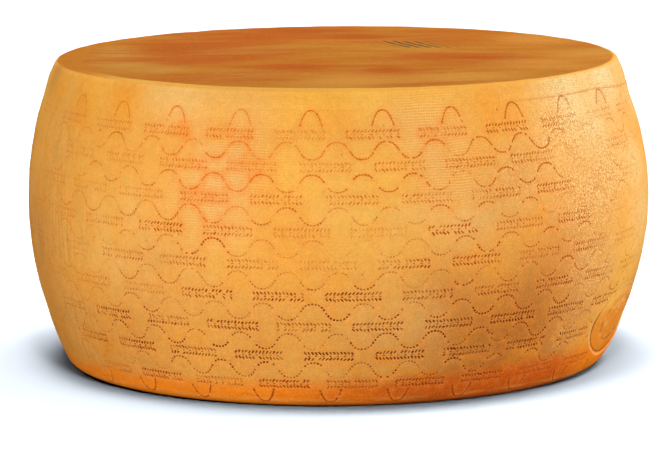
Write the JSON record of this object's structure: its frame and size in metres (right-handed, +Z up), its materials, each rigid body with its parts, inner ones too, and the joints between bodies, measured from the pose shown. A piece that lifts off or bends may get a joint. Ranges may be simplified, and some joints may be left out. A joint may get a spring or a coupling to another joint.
{
  "type": "hard cheese wheel",
  "caption": "Whole wheel of long-aged hard cheese: a squat drum with a bowed golden side, flat top and base, rounded edges and a shallow hoop fold below the top.",
  "frame": {"origin": "Middle of the bounding box at the level of the flat base, which rests on the floor.", "axes": "+Z up out of the flat top, +X to the right and -Y towards the viewer of the picture."},
  "size_m": [0.4306, 0.4294, 0.2126],
  "materials": {
    "rind": "golden, dry, slightly waxy skin with pressed dotted marks"
  },
  "bodies": {
    "root": {"wheel": "rind"}
  },
  "joints": []
}
